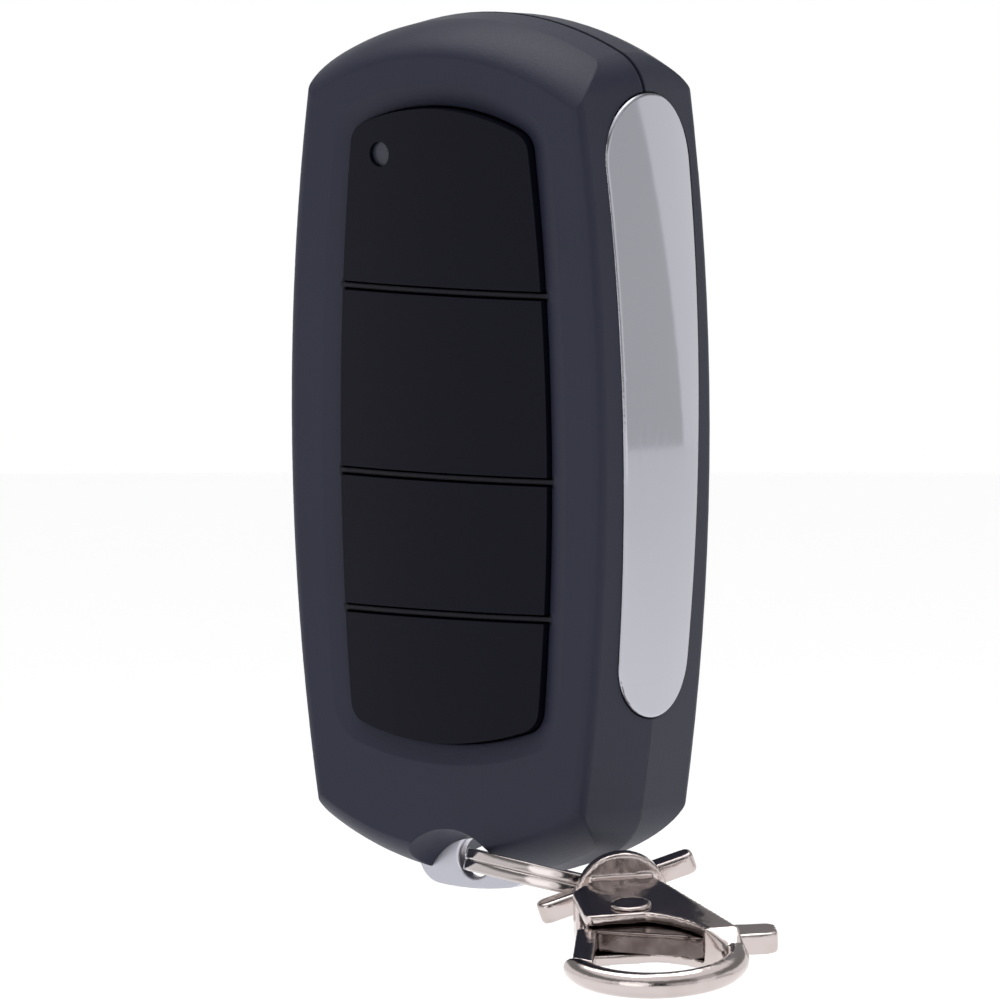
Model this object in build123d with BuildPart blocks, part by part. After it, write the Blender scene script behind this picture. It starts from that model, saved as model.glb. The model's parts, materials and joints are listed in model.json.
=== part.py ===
from build123d import *
import os
from math import cos, radians, sin

# Frame: +Z up along the case, keys facing -Y, +X to the right of the keys.
# The origin is the centre of the flat rear face. All sizes are in millimetres.

# Case outline, seen from the front
case_length = 75.0
case_half_width = 17.5
widest_height = 1.5
side_radius = 208.0
top_radius = 30.0
bottom_radius = 28.0
top_corner_radius = 4.5
bottom_corner_radius = 5.0
case_bottom = -case_length / 2
case_top = case_length / 2

# Case depth, from the parting line to the rear face and to the sloped front face
rear_depth = 8.2
front_depth = 8.5
front_slope = 0.0145
side_draft = 5.5
front_edge_radius = 1.0
rear_edge_radius = 1.1
top_roll = 4.0
bottom_roll = 3.8
roll_margin = 0.15

# Case walls
side_wall = 2.2
face_wall = 1.8
lug_block_height = 7.0

# Key window in the front face
window_top = case_top - 7.6
window_bottom = case_bottom + 12.0
window_half_width = 11.2
window_widest = -0.5
window_side_radius = 235.0
window_top_radius = 21.0
window_bottom_radius = 28.0
window_corner_radius = 2.2
dish_width = 1.8
dish_depth = 0.45
dish_overrun = 0.15

# Keys, from the top down, and the bars between them
key_dividers = [window_top - 16.0, window_top - 32.1, window_top - 44.0]
bar_thickness = 0.4
bar_sink = 0.3
key_gap = 0.2
key_crown_height = 1.1
key_crown_radius = 58.0
key_flange_width = 0.8
key_flange_thickness = 0.8
key_flange_clearance = 0.1
key_travel = 0.3
nub_radius = 1.5

# Status light window in the top key
light_x = -6.1
light_height = window_top - 4.4
light_radius = 1.1
light_window_sink = 0.9
light_window_thickness = 0.9
light_window_clearance = 0.02

# Chromed side strips
strip_top = case_top - 6.3
strip_bottom = case_bottom + 14.6
strip_top_half_width = 6.1
strip_bottom_half_width = 5.0
strip_proud = 0.25
strip_thickness = 1.35
strip_crown_radius = 24.0
strip_edge_radius = 0.3
strip_clearance = 0.08
strip_peg_radius = 0.75
strip_peg_length = 2.6
strip_peg_heights = [strip_top - 11.2, strip_bottom + 10.9]

# Lug plate for the key ring, held between the shells
lug_front_offset = 3.9
lug_thickness = 1.2
lug_half_width = 6.0
lug_head_half_width = 8.5
lug_head_bottom = case_bottom + 2.8
lug_head_top = case_bottom + 5.9
lug_proud = 0.8
lug_corner_radius = 2.6
lug_hole_radius = 1.75
lug_hole_height = case_bottom + 1.9
lug_clearance = 0.08
lug_hole_rounding = 0.3
tongue_step = 0.05

# Scoops in the case around the lug: round ones in front, a bell-shaped one behind
scoop_front_radius = 6.2
scoop_front_height = case_bottom - 1.4
scoop_inner_radius = 5.4
scoop_inner_height = case_bottom - 1.9
rear_scoop_half_width = 6.6
rear_scoop_shoulder = case_bottom + 1.4
rear_scoop_top = case_bottom + 4.3
rear_scoop_reach = 14.0

# Circuit board, parallel to the front face
board_half_width = 12.6
board_top = window_top - 0.3
board_bottom = window_bottom - 0.7
board_corner_radius = 3.0
board_edge_gap = 1.6
board_thickness = 1.0
switch_size = 4.6
switch_height = 1.55
switch_corner_radius = 0.4
plunger_radius = 1.2
plunger_bore_clearance = 0.06
plunger_length = 1.4
plunger_sink = 0.8
nub_gap = 0.05
ledge_heights = [12.0, -8.0]
ledge_length = 6.0
ledge_overlap = 0.5

# Parts on the board
battery_radius = 3.95
battery_length = 28.0
battery_cap_radius = 2.0
battery_cap_length = 0.7
battery_x = 4.0
battery_middle = 8.0
battery_gap = 0.25
contact_thickness = 0.35
contact_half_width = 3.2
contact_gap = 0.05
contact_foot = 2.0
cradle_wall = 1.2
cradle_half_length = 1.5
chip_width = 4.0
chip_length = 8.7
chip_height = 1.6
chip_x = -6.0
chip_middle = -10.0
resonator_radius = 4.6
resonator_height = 3.4
resonator_x = 5.0
resonator_middle = -17.0
transistor_size = 2.9
transistor_width = 1.5
transistor_height = 1.0
transistor_x = -3.0
transistor_middle = -21.0
passive_length = 1.6
passive_width = 0.8
passive_height = 0.6
passive_x = -9.5
passive_pitch = 3.2
passive_count = 6
passive_first = 2.0
antenna_wire_radius = 0.4
antenna_half_span = 7.0
antenna_rise = 3.0
antenna_middle = board_top - 5.1
antenna_x = -1.5
lamp_size = 2.0
lamp_dome_radius = 0.75
lamp_base_height = 0.8

# Case screws
screw_heights = [case_top - 4.5, case_bottom + 8.2]
screw_radius = 0.95
screw_hole_clearance = 0.05
screw_length = 11.5
screw_head_radius = 1.8
screw_head_height = 1.2
screw_head_sink = 1.5
screw_head_clearance = 0.2
screw_slot_width = 0.5
boss_radius = 2.4

# Split ring, two coils of flat wire pressed together
ring_mean_radius = 8.2
ring_wire_width = 1.3
ring_coil_thickness = 1.0
ring_groove = 0.16
ring_edge_radius = 0.18
ring_heading = 36.0
ring_lift = 5.0
ring_roll = 13.2
ring_turn = 22.0
ring_rest_drop = 0.4

# Swivel: a bar with a round bail behind it, and the post that joins it to the clasp
swivel_heading = 45.0
swivel_lift = -12.0
swivel_roll = -19.5
swivel_ring_angle = 124.5
bail_hole_radius = 2.45
bail_wall = 0.95
bail_width = 1.4
bail_drop = 2.0
bail_reach = 3.6
bail_rest = -0.1
bail_set_back = 0.3
bar_half_length = 7.1
bar_half_width = 1.05
bar_half_height = 0.95
bar_end_radius = 0.8
bar_edge_radius = 0.35
post_radius = 1.0
post_gap = 1.0
post_head_radius = 1.5
post_head_height = 0.9
post_clearance = 0.08
post_root_radius = 0.6
post_root_depth = 1.3

# Trigger clasp, measured from the centre of its hook loop; the tail is at +Y
clasp_roll = -3.0
hook_mean_radius = 6.95
hook_wire_radius = 1.15
hook_tip_angle = 189.0
tip_bevel = 40.0
collar_radius = 4.0
collar_thickness = 1.3
collar_face = 18.0
pocket_radius = 1.75
pocket_length = 1.6
body_top_front = 7.3
body_bottom_front = 5.4
body_back = 14.5
body_left = 4.9
body_back_right = 3.7
flank_front = 1.9
flank_inner_x = 4.6
flank_outer_x = 7.6
front_bend_x = 0.4
front_arc_x = 2.9
front_arc_rise = 0.6
neck_half_width = 2.6
neck_half_height = 1.9
body_half_height = 2.0
body_corner_radius = 0.6
slot_half_height = 1.05
slot_front = 2.2
slot_back = 12.5
channel_half_width = 1.2
channel_overlap = 0.4
trigger_half_height = 0.95
pivot_x = -0.6
pivot_y = 9.5
pivot_radius = 0.9
pivot_clearance = 0.06
hub_radius = 2.5
lever_left = 5.0
lever_front = 6.7
lever_back = 8.6
lever_bend_x = 5.0
tab_front = 2.5
tab_back = 5.8
tab_end = 11.2
tab_corner_radius = 0.9
gate_width = 1.9
gate_root_x = -4.7
gate_root_y = 7.5
gate_gap = 0.18
rivet_head_radius = 1.9
rivet_fit = 0.02
rivet_head_height = 0.35
spring_outer_radius = 1.9
spring_inner_radius = 1.0
spring_height = 0.45
spring_clearance = 0.08
spring_leg_width = 0.4
recess_radius = 2.7

# Planes of the case
parting_y = -rear_depth
parting_plane = Plane(origin=(0, parting_y, 0), x_dir=(1, 0, 0), z_dir=(0, -1, 0))
rearward_plane = Plane(origin=(0, parting_y, 0), x_dir=(-1, 0, 0), z_dir=(0, 1, 0))
front_plane = Plane(
    origin=(0, parting_y - front_depth, 0),
    x_dir=(1, 0, 0),
    z_dir=(0, -1, -front_slope),
)
rear_plane = Plane(origin=(0, 0, 0), x_dir=(1, 0, 0), z_dir=(0, -1, 0))
top_centre = case_top - top_radius
bottom_centre = case_bottom + bottom_radius
os.makedirs("parts", exist_ok=True)


def save(builder, name):
    """Label a finished piece and write its file."""
    builder.part.label = name
    export_step(builder.part, f"parts/{name}.step")


def depth_below_front(distance):
    """The plane parallel to the front face, this far inside it."""
    return front_plane.offset(-distance)


def front_depth_at(height):
    """Distance from the parting line to the front face at a height."""
    return front_depth + front_slope * height


# Case outline and the rolled ends
case_ends = [
    (top_radius, top_centre, top_roll),
    (bottom_radius, bottom_centre, bottom_roll),
]


def case_half_outline(inset):
    """Front view of the case in local coordinates, drawn in by the inset."""
    with BuildSketch() as outline:
        with Locations((0, top_centre)):
            Circle(top_radius - inset)
        with Locations((0, bottom_centre)):
            Circle(bottom_radius - inset)
        for side in (-1, 1):
            with Locations((side * (case_half_width - side_radius), widest_height)):
                Circle(side_radius - inset, mode=Mode.INTERSECT)
        top_corners = outline.vertices().group_by(Axis.Y)[-1]
        fillet(top_corners, max(top_corner_radius - inset, 0.5))
        bottom_corners = outline.vertices().group_by(Axis.Y)[0]
        fillet(bottom_corners, max(bottom_corner_radius - inset, 0.5))
    return outline.sketch


def end_roll(radius, centre, roll, depth, direction, inset):
    """Half a disc facing one way, whose rim rolls round towards that face."""
    rim = radius - inset
    middle = Vector(0, parting_y, centre)
    upward = direction.cross(Vector(1, 0, 0))
    with BuildPart() as disc:
        with BuildSketch(Plane(origin=middle, x_dir=direction, z_dir=direction.cross(upward))):
            with BuildLine():
                Polyline((0, rim), (0, 0), (depth, 0), (depth, rim - roll))
                EllipticalCenterArc((0, rim - roll), depth, roll, 0, arc_size=90)
            make_face()
        revolve(axis=Axis(middle, direction), revolution_arc=360)
    return disc.part


def front_half(inset, depth_inset):
    """The case in front of the parting line, or its inner space when insets are given."""
    reach = front_depth + front_slope * case_length
    margin = roll_margin - depth_inset
    with BuildPart() as rolled:
        for radius, centre, roll in case_ends:
            depth = front_depth_at(centre) + margin
            add(end_roll(radius, centre, roll, depth, front_plane.z_dir, inset))
    with BuildPart() as half:
        with BuildSketch(parting_plane):
            add(case_half_outline(inset))
        extrude(amount=reach, taper=side_draft)
        split(bisect_by=depth_below_front(depth_inset), keep=Keep.BOTTOM)
        if inset == 0:
            front_face = half.faces().sort_by(Axis.Y)[0]
            fillet(front_face.edges(), front_edge_radius)
        add(rolled.part, mode=Mode.INTERSECT)
        split(bisect_by=parting_plane, keep=Keep.TOP)
    return half.part


def rear_half(inset, depth_inset):
    """The case behind the parting line, or its inner space when insets are given."""
    with BuildPart() as rolled:
        for radius, centre, roll in case_ends:
            depth = rear_depth + roll_margin - depth_inset
            add(end_roll(radius, centre, roll, depth, Vector(0, 1, 0), inset))
    with BuildPart() as half:
        with BuildSketch(rearward_plane):
            add(case_half_outline(inset))
        extrude(amount=rear_depth - depth_inset, taper=side_draft)
        if inset == 0:
            rear_face = half.faces().sort_by(Axis.Y)[-1]
            fillet(rear_face.edges(), rear_edge_radius)
        add(rolled.part, mode=Mode.INTERSECT)
    return half.part


front_outer = front_half(0, 0)
rear_outer = rear_half(0, 0)
space_floor = Plane.XY.offset(case_bottom + lug_block_height)
with BuildPart() as front_space:
    add(front_half(side_wall, face_wall))
    split(bisect_by=space_floor, keep=Keep.TOP)
with BuildPart() as rear_space:
    add(rear_half(side_wall, face_wall))
    split(bisect_by=space_floor, keep=Keep.TOP)


def strip_outline(grow):
    """Side view of a strip in local coordinates: round ends and straight edges between."""
    with BuildSketch() as outline:
        with Locations((parting_y, strip_top - strip_top_half_width)):
            Circle(strip_top_half_width + grow)
        with Locations((parting_y, strip_bottom + strip_bottom_half_width)):
            Circle(strip_bottom_half_width + grow)
        make_hull()
    return outline.sketch


def strip_solid(grow):
    """The right-hand strip, or its pocket when it is grown by a clearance."""
    outer = case_half_width + strip_proud
    inner = outer - strip_thickness - grow
    half_width = strip_top_half_width + 1
    with BuildPart() as strip:
        with BuildSketch(Plane.XY.offset(widest_height)):
            with Locations((outer - strip_crown_radius, parting_y)):
                Circle(strip_crown_radius)
            with Locations(((inner + outer) / 2 + grow, parting_y)):
                Rectangle(outer - inner + 2 * grow, 2 * half_width, mode=Mode.INTERSECT)
        axis = Axis((case_half_width - side_radius, 0, widest_height), (0, 1, 0))
        revolve(axis=axis, revolution_arc=360)
        with BuildSketch(Plane.YZ):
            add(strip_outline(grow))
        extrude(amount=case_half_width * 2, mode=Mode.INTERSECT)
    return strip.part


def strip_pegs(grow):
    """Round pegs on the back of the right-hand strip, at the parting line."""
    with BuildPart() as pegs:
        for height in strip_peg_heights:
            back = case_half_width + strip_proud - strip_thickness
            back = back - (height - widest_height) ** 2 / (2 * side_radius)
            with BuildSketch(Plane.YZ.offset(back + 0.2)):
                with Locations((parting_y, height)):
                    Circle(strip_peg_radius + grow)
            extrude(amount=-strip_peg_length - 0.2 - grow)
    return pegs.part


with BuildPart() as strip_right:
    add(strip_solid(0))
    rim = strip_right.faces().sort_by(Axis.X)[-1]
    fillet(rim.edges(), strip_edge_radius)
    add(strip_pegs(0))
with BuildPart() as strip_left:
    mirror(strip_right.part, about=Plane.YZ)
save(strip_right, "strip_right")
save(strip_left, "strip_left")

with BuildPart() as strip_pockets:
    add(strip_solid(strip_clearance))
    with BuildSketch(Plane.YZ.offset(case_half_width - strip_thickness / 2)):
        add(strip_outline(strip_clearance))
    extrude(amount=strip_thickness * 2)
    add(strip_pegs(strip_clearance))
    mirror(about=Plane.YZ)


# Lug plate


def lug_outline(grow):
    """T-shaped plate in local coordinates: a wide head above a round-cornered tab."""
    tab_bottom = case_bottom - lug_proud
    tab_middle = (tab_bottom + lug_head_top) / 2
    with BuildSketch() as outline:
        with Locations((0, tab_middle)):
            Rectangle(2 * (lug_half_width + grow), lug_head_top - tab_bottom + 2 * grow)
        with Locations((0, bottom_centre)):
            Circle(bottom_radius + lug_proud + grow, mode=Mode.INTERSECT)
        fillet(outline.vertices().group_by(Axis.Y)[0], lug_corner_radius)
        head_middle = (lug_head_bottom + lug_head_top) / 2
        with Locations((0, head_middle)):
            head_height = lug_head_top - lug_head_bottom + 2 * grow
            Rectangle(2 * (lug_head_half_width + grow), head_height)
    return outline.sketch


with BuildPart() as lug_plate:
    with BuildSketch(parting_plane.offset(lug_front_offset - lug_thickness)):
        add(lug_outline(0))
        with Locations((0, lug_hole_height)):
            Circle(lug_hole_radius, mode=Mode.SUBTRACT)
    extrude(amount=lug_thickness)
    hole_rims = lug_plate.edges().filter_by(GeomType.CIRCLE).sort_by(SortBy.LENGTH)
    fillet([rim for rim in hole_rims if abs(rim.radius - lug_hole_radius) < 0.001], lug_hole_rounding)
save(lug_plate, "lug_plate")


lug_front_plane = parting_plane.offset(lug_front_offset)
with BuildPart() as front_scoop:
    with BuildSketch(lug_front_plane.offset(-0.01)):
        with Locations((0, scoop_inner_height)):
            Circle(scoop_inner_radius)
    with BuildSketch(lug_front_plane.offset(front_depth - lug_front_offset)):
        with Locations((0, scoop_front_height)):
            Circle(scoop_front_radius)
    loft(ruled=True)
with BuildPart() as rear_scoop:
    with BuildSketch(lug_front_plane.offset(-lug_thickness)):
        with BuildLine():
            left = (-rear_scoop_half_width, rear_scoop_shoulder)
            right = (rear_scoop_half_width, rear_scoop_shoulder)
            floor = case_bottom - 2
            Polyline(left, (-rear_scoop_half_width, floor), (rear_scoop_half_width, floor), right)
            ThreePointArc(right, (0, rear_scoop_top), left)
        make_face()
    extrude(amount=-rear_scoop_reach)

# Key window and keys


def window_outline(grow):
    """Front view of the key window in local coordinates, spread by an amount."""
    with BuildSketch() as outline:
        with Locations((0, window_top - window_top_radius)):
            Circle(window_top_radius + grow)
        with Locations((0, window_bottom)):
            Rectangle(2 * case_half_width, -2 * window_bottom)
        with Locations((0, window_bottom + window_bottom_radius)):
            Circle(window_bottom_radius + grow, mode=Mode.INTERSECT)
        for side in (-1, 1):
            with Locations((side * (window_half_width - window_side_radius), window_widest)):
                Circle(window_side_radius + grow, mode=Mode.INTERSECT)
        fillet(outline.vertices().group_by(Axis.Y)[-1], window_corner_radius + grow)
        fillet(outline.vertices().group_by(Axis.Y)[0], window_corner_radius + grow)
    return outline.sketch


key_edges = [window_top + dish_width] + key_dividers + [window_bottom - dish_width]


def key_outline(index, grow):
    """Front view of one key: the window between two bars, drawn in by the key gap."""
    top = key_edges[index] - bar_thickness / 2 - key_gap
    bottom = key_edges[index + 1] + bar_thickness / 2 + key_gap
    with BuildSketch() as outline:
        add(window_outline(grow - key_gap))
        with Locations((0, (top + bottom) / 2)):
            Rectangle(4 * window_half_width, top - bottom, mode=Mode.INTERSECT)
    return outline.sketch


def crown_solid(sink):
    """Everything behind the keys' crowned front surface, sunk by an amount."""
    radius = key_crown_radius
    centre_depth = key_crown_height - sink - radius
    section = Plane(origin=front_plane.origin, x_dir=(1, 0, 0), z_dir=front_plane.y_dir)
    with BuildPart() as crown:
        with BuildSketch(section):
            with Locations((0, -centre_depth)):
                Circle(radius)
        extrude(amount=case_length, both=True)
    return crown.part


key_crown = crown_solid(0)
flange_front = face_wall + key_flange_clearance
flange_back = flange_front + key_flange_thickness
board_front = flange_back + 2.8
switch_front = board_front - switch_height
plunger_front = switch_front - plunger_length + plunger_sink
nub_back = plunger_front - nub_gap
key_middles = [(upper + lower) / 2 for upper, lower in zip(
    [window_top] + key_dividers, key_dividers + [window_bottom])]

for index, middle in enumerate(key_middles):
    with BuildPart() as key:
        with BuildSketch(depth_below_front(flange_front)):
            add(key_outline(index, 0))
        extrude(amount=flange_front + key_crown_height + 1)
        add(key_crown, mode=Mode.INTERSECT)
        with BuildSketch(depth_below_front(flange_back)):
            add(key_outline(index, key_flange_width))
        extrude(amount=key_flange_thickness)
        with BuildSketch(depth_below_front(nub_back)):
            with Locations((0, middle)):
                Circle(nub_radius)
        extrude(amount=nub_back - flange_back)
        if index == 0:
            with BuildSketch(depth_below_front(nub_back)):
                with Locations((light_x, light_height)):
                    Circle(light_radius)
            extrude(amount=nub_back + key_crown_height + 1, mode=Mode.SUBTRACT)
    save(key, f"key_{index + 1}")

window_front = light_window_sink - key_crown_height
with BuildPart() as light_window:
    with BuildSketch(depth_below_front(window_front + light_window_thickness)):
        with Locations((light_x, light_height)):
            Circle(light_radius - light_window_clearance)
    extrude(amount=light_window_thickness)
save(light_window, "light_window")

# Shells

with BuildPart() as front_bosses:
    for height in screw_heights:
        with BuildSketch(parting_plane):
            with Locations((0, height)):
                Circle(boss_radius)
        extrude(amount=front_depth)
    for height in ledge_heights:
        ledge_plane = depth_below_front(board_front)
        with BuildSketch(ledge_plane):
            for side in (-1, 1):
                with Locations((side * (board_half_width - ledge_overlap + case_half_width) / 2, height)):
                    Rectangle(case_half_width - board_half_width + ledge_overlap, ledge_length)
        extrude(amount=board_front)
    add(front_outer, mode=Mode.INTERSECT)

with BuildPart() as window_bars:
    with BuildSketch(depth_below_front(face_wall)):
        for divider in key_dividers:
            with Locations((0, divider)):
                Rectangle(4 * window_half_width, bar_thickness)
    extrude(amount=face_wall + key_crown_height)
    with BuildSketch(depth_below_front(face_wall)):
        add(window_outline(0.3))
    extrude(amount=face_wall + key_crown_height + 1, mode=Mode.INTERSECT)
    add(crown_solid(bar_sink), mode=Mode.INTERSECT)

with BuildPart() as front_shell:
    add(front_outer)
    add(front_space.part, mode=Mode.SUBTRACT)
    add(front_bosses.part)
    for height in screw_heights:
        with BuildSketch(parting_plane):
            with Locations((0, height)):
                Circle(screw_radius + screw_hole_clearance)
        extrude(amount=front_depth - 2 * face_wall, mode=Mode.SUBTRACT)
    with BuildSketch(depth_below_front(face_wall + 1)):
        add(window_outline(0))
    extrude(amount=face_wall + 2, mode=Mode.SUBTRACT)
    with BuildSketch(depth_below_front(dish_depth * (1 + dish_overrun))):
        add(window_outline(-dish_width * dish_overrun))
    with BuildSketch(depth_below_front(-dish_depth * dish_overrun)):
        add(window_outline(dish_width * (1 + dish_overrun)))
    loft(ruled=True, mode=Mode.SUBTRACT)
    with BuildSketch(depth_below_front(flange_back + key_travel + key_flange_clearance)):
        add(window_outline(key_flange_width - key_gap + key_flange_clearance))
    extrude(amount=key_flange_thickness + key_travel + 2 * key_flange_clearance, mode=Mode.SUBTRACT)
    add(window_bars.part)
    add(strip_pockets.part, mode=Mode.SUBTRACT)
    with BuildSketch(parting_plane):
        add(lug_outline(lug_clearance))
    extrude(amount=lug_front_offset + lug_clearance, mode=Mode.SUBTRACT)
    add(front_scoop.part, mode=Mode.SUBTRACT)
save(front_shell, "front_shell")

with BuildPart() as rear_bosses:
    for height in screw_heights:
        with BuildSketch(rearward_plane):
            with Locations((0, height)):
                Circle(boss_radius)
        extrude(amount=rear_depth)
    add(rear_outer, mode=Mode.INTERSECT)
with BuildPart() as lug_tongue:
    with BuildSketch(parting_plane):
        add(lug_outline(-lug_clearance))
    extrude(amount=lug_front_offset - lug_thickness - lug_clearance)
    add(front_half(tongue_step, 0), mode=Mode.INTERSECT)

board_back = board_front + board_thickness
battery_plane = depth_below_front(board_back + battery_gap + battery_radius)
with BuildPart() as battery_cradles:
    for along in (-1, 1):
        cradle_height = battery_middle + along * battery_length / 4
        with BuildSketch(rear_plane.offset(face_wall / 2)):
            with Locations((battery_x, cradle_height)):
                Rectangle(2 * (battery_radius + cradle_wall), 2 * cradle_half_length)
        extrude(amount=battery_radius + face_wall / 2)
    cradle_axis = Plane(
        origin=battery_plane.from_local_coords((battery_x, battery_middle, 0)),
        x_dir=(1, 0, 0),
        z_dir=battery_plane.y_dir,
    )
    with BuildSketch(cradle_axis):
        Circle(battery_radius + battery_gap)
    extrude(amount=battery_length, both=True, mode=Mode.SUBTRACT)

with BuildPart() as rear_shell:
    add(rear_outer)
    add(rear_space.part, mode=Mode.SUBTRACT)
    add(rear_bosses.part)
    add(battery_cradles.part)
    for height in screw_heights:
        with BuildSketch(rear_plane):
            with Locations((0, height)):
                Circle(screw_radius + screw_hole_clearance)
        extrude(amount=rear_depth, mode=Mode.SUBTRACT)
        with BuildSketch(rear_plane):
            with Locations((0, height)):
                Circle(screw_head_radius + screw_head_clearance)
        extrude(amount=screw_head_sink + screw_head_height, mode=Mode.SUBTRACT)
    add(strip_pockets.part, mode=Mode.SUBTRACT)
    add(lug_tongue.part)
    add(rear_scoop.part, mode=Mode.SUBTRACT)
save(rear_shell, "rear_shell")

with BuildPart() as case_screws:
    for height in screw_heights:
        with BuildSketch(rear_plane.offset(screw_head_sink)):
            with Locations((0, height)):
                Circle(screw_head_radius)
        extrude(amount=screw_head_height)
        with BuildSketch(rear_plane.offset(screw_head_sink + screw_head_height)):
            with Locations((0, height)):
                Circle(screw_radius)
        extrude(amount=screw_length - screw_head_height)
        with BuildSketch(rear_plane.offset(screw_head_sink)):
            with Locations((0, height)):
                Rectangle(2 * screw_head_radius * 0.8, screw_slot_width)
                Rectangle(screw_slot_width, 2 * screw_head_radius * 0.8)
        extrude(amount=screw_head_height / 2, mode=Mode.SUBTRACT)
save(case_screws, "case_screws")

# Electronics

with BuildPart() as circuit_board:
    with BuildSketch(depth_below_front(board_back)):
        with Locations((0, (board_top + board_bottom) / 2)):
            RectangleRounded(2 * board_half_width, board_top - board_bottom, board_corner_radius)
        add(case_half_outline(side_wall + board_edge_gap), mode=Mode.INTERSECT)
    extrude(amount=board_thickness)
save(circuit_board, "circuit_board")

for index, middle in enumerate(key_middles):
    with BuildPart() as switch:
        with BuildSketch(depth_below_front(board_front)):
            with Locations((0, middle)):
                RectangleRounded(switch_size, switch_size, switch_corner_radius)
        extrude(amount=switch_height)
        with BuildSketch(depth_below_front(switch_front + plunger_sink + key_travel)):
            with Locations((0, middle)):
                Circle(plunger_radius + plunger_bore_clearance)
        extrude(amount=plunger_sink + key_travel, mode=Mode.SUBTRACT)
    save(switch, f"switch_{index + 1}")
    with BuildPart() as plunger:
        with BuildSketch(depth_below_front(plunger_front + plunger_length)):
            with Locations((0, middle)):
                Circle(plunger_radius)
        extrude(amount=plunger_length)
    save(plunger, f"switch_plunger_{index + 1}")

with BuildPart() as status_lamp:
    with BuildSketch(depth_below_front(board_front)):
        with Locations((light_x, light_height)):
            Rectangle(lamp_size, lamp_size)
    extrude(amount=lamp_base_height)
    lamp_centre = depth_below_front(board_front - lamp_base_height)
    with Locations(lamp_centre.from_local_coords((light_x, light_height, 0))):
        Sphere(lamp_dome_radius)
save(status_lamp, "status_lamp")


def board_box(x, height, width, length, thickness):
    """A flat part standing on the board's rear side."""
    with BuildPart() as box:
        with BuildSketch(depth_below_front(board_back)):
            with Locations((x, height)):
                Rectangle(width, length)
        extrude(amount=-thickness)
    return box.part


with BuildPart() as encoder_chip:
    add(board_box(chip_x, chip_middle, chip_width, chip_length, chip_height))
    chamfer(encoder_chip.edges().group_by(Axis.Y)[-1], 0.2)
save(encoder_chip, "encoder_chip")

with BuildPart() as resonator:
    with BuildSketch(depth_below_front(board_back)):
        with Locations((resonator_x, resonator_middle)):
            Circle(resonator_radius)
    extrude(amount=-resonator_height)
    fillet(resonator.edges().group_by(Axis.Y)[-1], 0.5)
save(resonator, "resonator")

with BuildPart() as transistor:
    add(board_box(transistor_x, transistor_middle, transistor_size, transistor_width, transistor_height))
save(transistor, "transistor")

with BuildPart() as chip_resistors:
    for number in range(passive_count):
        height = passive_first + number * passive_pitch
        add(board_box(passive_x, height, passive_length, passive_width, passive_height))
save(chip_resistors, "chip_resistors")

with BuildPart() as antenna_loop:
    loop_plane = depth_below_front(board_back + antenna_rise)
    left = loop_plane.from_local_coords((antenna_x - antenna_half_span, antenna_middle, 0))
    right = loop_plane.from_local_coords((antenna_x + antenna_half_span, antenna_middle, 0))
    inward = front_plane.z_dir * antenna_rise
    with BuildLine() as loop_path:
        FilletPolyline(left + inward, left, right, right + inward, radius=1.2)
    with BuildSketch(Plane(origin=left + inward, z_dir=-front_plane.z_dir)):
        Circle(antenna_wire_radius)
    sweep()
save(antenna_loop, "antenna_loop")

battery_axis = Plane(
    origin=battery_plane.from_local_coords((battery_x, battery_middle - battery_length / 2, 0)),
    x_dir=(1, 0, 0),
    z_dir=battery_plane.y_dir,
)
with BuildPart() as battery:
    with BuildSketch(battery_axis):
        Circle(battery_radius)
    extrude(amount=battery_length - battery_cap_length)
    fillet(battery.edges(), 0.4)
    with BuildSketch(battery_axis.offset(battery_length - battery_cap_length)):
        Circle(battery_cap_radius)
    extrude(amount=battery_cap_length)
save(battery, "battery")


def battery_contact(name, end, outward):
    """A bent spring leaf: a blade against the battery's end and a foot on the board."""
    with BuildPart() as contact:
        blade_front = board_back
        blade_back = board_back + battery_gap + 1.6 * battery_radius
        near = end + outward * contact_gap
        far = near + outward * contact_thickness
        with BuildSketch(depth_below_front(blade_front)):
            with Locations((battery_x, (near + far) / 2)):
                Rectangle(2 * contact_half_width, contact_thickness)
        extrude(amount=blade_front - blade_back)
        with BuildSketch(depth_below_front(blade_front)):
            with Locations((battery_x, near + outward * contact_foot / 2)):
                Rectangle(2 * contact_half_width, contact_foot)
        extrude(amount=-contact_thickness)
    save(contact, name)


battery_contact("battery_contact_plus", battery_middle + battery_length / 2, 1)
battery_contact("battery_contact_minus", battery_middle - battery_length / 2, -1)

# Split ring


def facing_plane(origin, heading, lift, roll):
    """A plane whose -Y axis points to a heading (from the front towards +X) and lift."""
    level = Vector(cos(radians(heading)), sin(radians(heading)), 0)
    forward = Vector(sin(radians(heading)), -cos(radians(heading)), 0) * cos(radians(lift))
    forward = forward + Vector(0, 0, sin(radians(lift)))
    upward = level.cross(forward * -1)
    sideways = level * cos(radians(roll)) - upward * sin(radians(roll))
    return Plane(origin=origin, x_dir=sideways, z_dir=sideways.cross(forward * -1))


lug_middle_y = parting_y - lug_front_offset + lug_thickness / 2
ring_rest_point = Vector(0, lug_middle_y, lug_hole_height - ring_rest_drop)
ring_direction = facing_plane(ring_rest_point, ring_heading, ring_lift, ring_roll)
ring_inward = ring_direction.x_dir * cos(radians(ring_turn)) - ring_direction.y_dir * sin(radians(ring_turn))
ring_centre = ring_rest_point + ring_inward * ring_mean_radius
ring_plane = facing_plane(ring_centre, ring_heading, ring_lift, ring_roll)

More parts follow.
